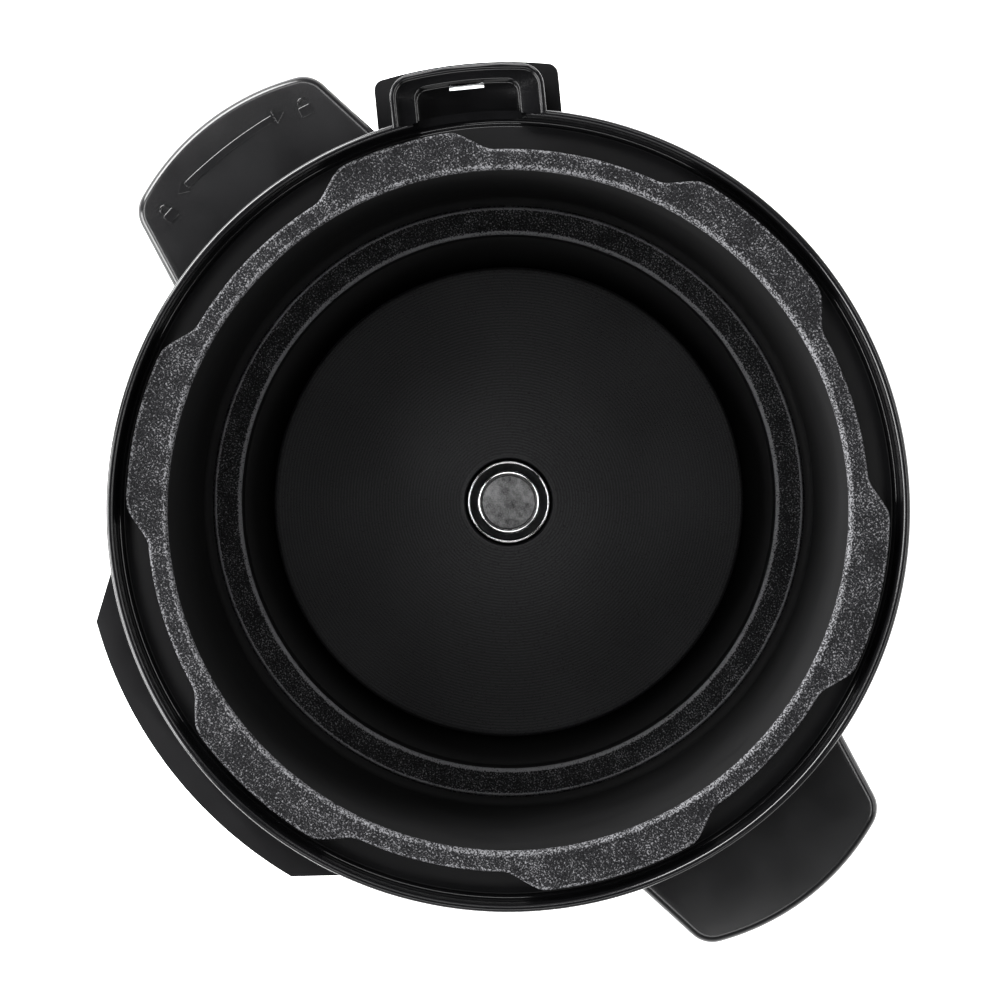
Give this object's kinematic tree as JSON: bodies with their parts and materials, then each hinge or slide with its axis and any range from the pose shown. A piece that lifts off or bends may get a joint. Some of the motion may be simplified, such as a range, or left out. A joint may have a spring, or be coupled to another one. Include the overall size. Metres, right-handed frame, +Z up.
{
  "type": "electric pressure cooker",
  "caption": "Base unit of an electric pressure cooker: lugged locking pot, sprung heating plate with sensor, side handles, front key panel and rear condensate cup.",
  "frame": {"origin": "on the table plane, under the middle of the body (the axis of the pot)", "axes": "+Z up along the axis of the pot; -Y towards the front panel; the handles point along +X and -X; the spout is at the rear left"},
  "size_m": [0.3316, 0.2911, 0.225],
  "materials": {
    "black_gloss": "glossy moulded black",
    "fascia_gloss": "piano black",
    "black_satin": "fine satin texture",
    "rubber": "matte",
    "silicone": "matte",
    "stainless": "brushed around the body",
    "hammertone": "grey speckled hammer finish on black",
    "reflector": "bright",
    "cast_plate": "fine turned grooves, dark coating",
    "element_steel": "oxidised",
    "ceramic": "matte",
    "polished_steel": "polished edge",
    "sensor_steel": "frosted",
    "nylon": "satin",
    "sensor_bead": "satin",
    "switch_case": "satin",
    "display_glass": "smoked clear",
    "display_case": "satin",
    "lamp_red": "tinted",
    "board_green": "satin",
    "board_tan": "satin",
    "zinc_steel": "zinc plated",
    "clear_plastic": "clear",
    "brass": "satin",
    "relay_blue": "satin",
    "winding_tape": "satin",
    "capacitor_sleeve": "satin",
    "wire_insulation": "satin",
    "key_plastic": "fine satin"
  },
  "bodies": {
    "base_unit": {"base_cover": "black_satin", "rubber_feet": "rubber", "outer_shell": "stainless", "collar": "black_gloss", "seat_ring": "black_gloss", "drain_spout": "black_gloss", "flange_gasket": "silicone", "outer_pot": "hammertone", "pot_floor": "hammertone", "pot_flange": "hammertone", "heat_reflector": "reflector", "tie_legs": "zinc_steel", "handle_left": "black_gloss", "handle_right": "black_gloss", "plate_springs": "zinc_steel", "switch_bracket": "zinc_steel", "pressure_switch": "switch_case", "thermal_fuse": "ceramic", "panel_housing": "black_satin", "panel_fascia": "fascia_gloss", "display_lens": "display_glass", "display_module": "display_case", "indicator_lenses": "lamp_red", "control_board": "board_green", "tact_switches": "zinc_steel", "shell_screws": "zinc_steel", "cup_holder": "black_satin", "inlet_socket": "black_satin", "inlet_pins": "brass", "power_board": "board_tan", "relay": "relay_blue", "transformer": "winding_tape", "capacitors": "capacitor_sleeve", "supply_wires": "wire_insulation", "base_screws": "zinc_steel", "board_screws": "zinc_steel"},
    "plate": {"heating_plate": "cast_plate", "heating_element": "element_steel", "terminal_insulators": "ceramic", "plate_studs": "zinc_steel", "plate_washers": "zinc_steel", "plate_nuts": "zinc_steel", "sensor_shield_ring": "polished_steel", "sensor_retainer": "zinc_steel", "retainer_screws": "zinc_steel", "switch_striker": "zinc_steel", "sensor_spring": "zinc_steel"},
    "sensor": {"sensor_cap": "sensor_steel", "sensor_stem": "nylon", "sensor_clip": "zinc_steel", "thermistor": "sensor_bead"},
    "cup": {"condensate_cup": "clear_plastic"},
    "key_start_cap": {"key_start": "key_plastic"},
    "key_cancel_cap": {"key_cancel": "key_plastic"},
    "key_plus_cap": {"key_plus": "key_plastic"},
    "key_minus_cap": {"key_minus": "key_plastic"},
    "key_timer_cap": {"key_timer": "key_plastic"},
    "key_pressure_cap": {"key_pressure": "key_plastic"},
    "key_menu_cap": {"key_menu": "key_plastic"},
    "key_warm_cap": {"key_warm": "key_plastic"}
  },
  "joints": [
    {"name": "plate_float", "type": "slide", "parent": "base_unit", "child": "plate", "axis": [0, 0, -1], "range_m": [0, 0.0015], "stiffness_N_per_m": 20000, "springref_m": -0.0015, "deforming": ["plate_springs"]},
    {"name": "sensor_plunge", "type": "slide", "parent": "plate", "child": "sensor", "axis": [0, 0, -1], "range_m": [0, 0.003], "stiffness_N_per_m": 800, "springref_m": -0.003, "deforming": ["sensor_spring"]},
    {"name": "cup_slide", "type": "slide", "parent": "base_unit", "child": "cup", "axis": [-0.8508, 0.5255, 0], "range_m": [0, 0.03]},
    {"name": "key_start_press", "type": "slide", "parent": "base_unit", "child": "key_start_cap", "axis": [0, 1, 0], "range_m": [0, 0.0005], "stiffness_N_per_m": 800, "springref_m": -0.0005},
    {"name": "key_cancel_press", "type": "slide", "parent": "base_unit", "child": "key_cancel_cap", "axis": [0, 1, 0], "range_m": [0, 0.0005], "stiffness_N_per_m": 800, "springref_m": -0.0005},
    {"name": "key_plus_press", "type": "slide", "parent": "base_unit", "child": "key_plus_cap", "axis": [0, 1, 0], "range_m": [0, 0.0005], "stiffness_N_per_m": 800, "springref_m": -0.0005},
    {"name": "key_minus_press", "type": "slide", "parent": "base_unit", "child": "key_minus_cap", "axis": [0, 1, 0], "range_m": [0, 0.0005], "stiffness_N_per_m": 800, "springref_m": -0.0005},
    {"name": "key_timer_press", "type": "slide", "parent": "base_unit", "child": "key_timer_cap", "axis": [0, 1, 0], "range_m": [0, 0.0005], "stiffness_N_per_m": 800, "springref_m": -0.0005},
    {"name": "key_pressure_press", "type": "slide", "parent": "base_unit", "child": "key_pressure_cap", "axis": [0, 1, 0], "range_m": [0, 0.0005], "stiffness_N_per_m": 800, "springref_m": -0.0005},
    {"name": "key_menu_press", "type": "slide", "parent": "base_unit", "child": "key_menu_cap", "axis": [0, 1, 0], "range_m": [0, 0.0005], "stiffness_N_per_m": 800, "springref_m": -0.0005},
    {"name": "key_warm_press", "type": "slide", "parent": "base_unit", "child": "key_warm_cap", "axis": [0, 1, 0], "range_m": [0, 0.0005], "stiffness_N_per_m": 800, "springref_m": -0.0005}
  ]
}
